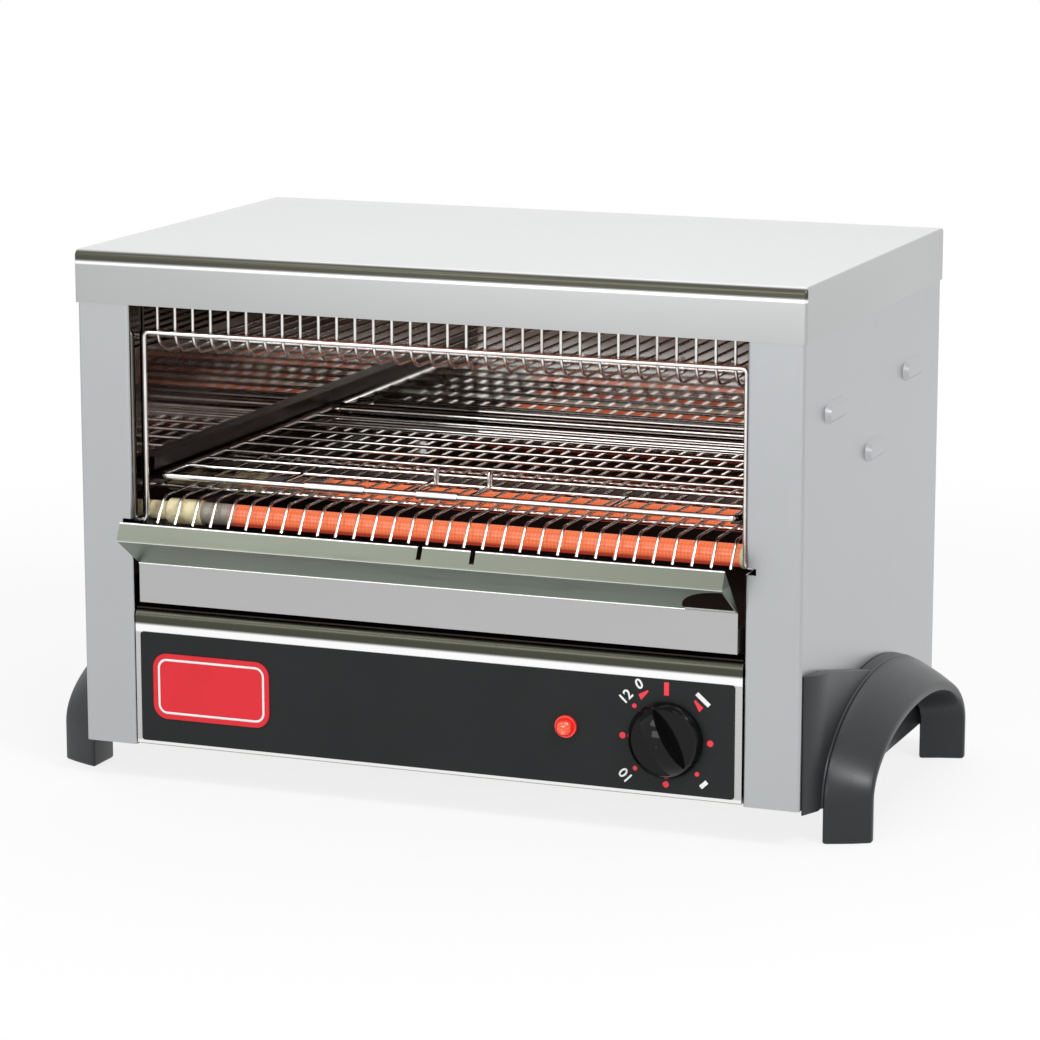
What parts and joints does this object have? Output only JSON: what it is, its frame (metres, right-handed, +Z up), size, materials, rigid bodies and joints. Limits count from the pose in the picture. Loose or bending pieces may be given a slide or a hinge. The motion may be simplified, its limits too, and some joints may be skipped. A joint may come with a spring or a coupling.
{
  "type": "quartz bar toaster",
  "caption": "Open-front countertop bar toaster: folded steel body, quartz heating tubes behind wire guards, sliding wire rack and crumb tray, timer knob, side arch feet.",
  "frame": {"origin": "centre of the bounding box in plan, at the level the feet stand on", "axes": "+X to the right seen from the front, +Y from the open front to the back panel, +Z up"},
  "size_m": [0.516, 0.315, 0.3225],
  "materials": {
    "brushed_sheet": "satin",
    "cover_sheet": "satin",
    "polished_sheet": "polished",
    "inner_sheet": "satin",
    "rail_sheet": "heat-darkened",
    "label_black": "satin",
    "badge_red": "gloss",
    "lamp_red": "clear, lit",
    "lamp_barrel": "moulded",
    "knob_black": "gloss",
    "steel_small": "plated",
    "timer_housing": "zinc",
    "foot_plastic": "satin",
    "quartz_glass": "clear quartz",
    "coil_hot": "glowing",
    "ceramic_cream": "bare ceramic",
    "wire_bright": "plated wire",
    "bushing_black": "moulded",
    "terminal_white": "moulded"
  },
  "bodies": {
    "body": {"back_panel": "brushed_sheet", "back_screws": "steel_small", "badge_plate": "badge_red", "base_plate": "brushed_sheet", "cable_bushing": "bushing_black", "ceiling_reflector": "polished_sheet", "control_fascia": "brushed_sheet", "control_label": "label_black", "foot_screws": "steel_small", "front_frame_wire": "wire_bright", "heat_shield": "inner_sheet", "left_foot": "foot_plastic", "left_liner": "polished_sheet", "left_rack_rail": "rail_sheet", "left_side_panel": "brushed_sheet", "lower_ceramic_caps": "ceramic_cream", "lower_coil_front": "coil_hot", "lower_coil_rear": "coil_hot", "lower_guard": "wire_bright", "lower_terminal_studs": "steel_small", "lower_tube_front": "quartz_glass", "lower_tube_rear": "quartz_glass", "pilot_lamp_body": "lamp_barrel", "pilot_lamp_lens": "lamp_red", "rear_reflector": "polished_sheet", "right_foot": "foot_plastic", "right_liner": "polished_sheet", "right_rack_rail": "rail_sheet", "right_side_panel": "brushed_sheet", "terminal_block": "terminal_white", "timer_case": "timer_housing", "timer_nut": "steel_small", "top_cover": "cover_sheet", "tray_runners": "inner_sheet", "upper_ceramic_caps": "ceramic_cream", "upper_coil_front": "coil_hot", "upper_coil_rear": "coil_hot", "upper_guard": "wire_bright", "upper_terminal_studs": "steel_small", "upper_tube_front": "quartz_glass", "upper_tube_rear": "quartz_glass"},
    "rack": {"toast_rack": "wire_bright", "rack_sleeves": "wire_bright"},
    "tray": {"crumb_tray": "brushed_sheet"},
    "knob": {"timer_knob": "knob_black", "timer_shaft": "steel_small"}
  },
  "joints": [
    {"name": "rack_slide", "type": "slide", "parent": "body", "child": "rack", "axis": [0, -1, 0], "range_m": [0, 0.17]},
    {"name": "tray_slide", "type": "slide", "parent": "body", "child": "tray", "axis": [0, -1, 0], "range_m": [0, 0.19]},
    {"name": "timer_turn", "type": "hinge", "parent": "body", "child": "knob", "pos_m": [0.1457, -0.1285, 0.0592], "axis": [0, 1, 0], "range_deg": [0, 320]}
  ]
}
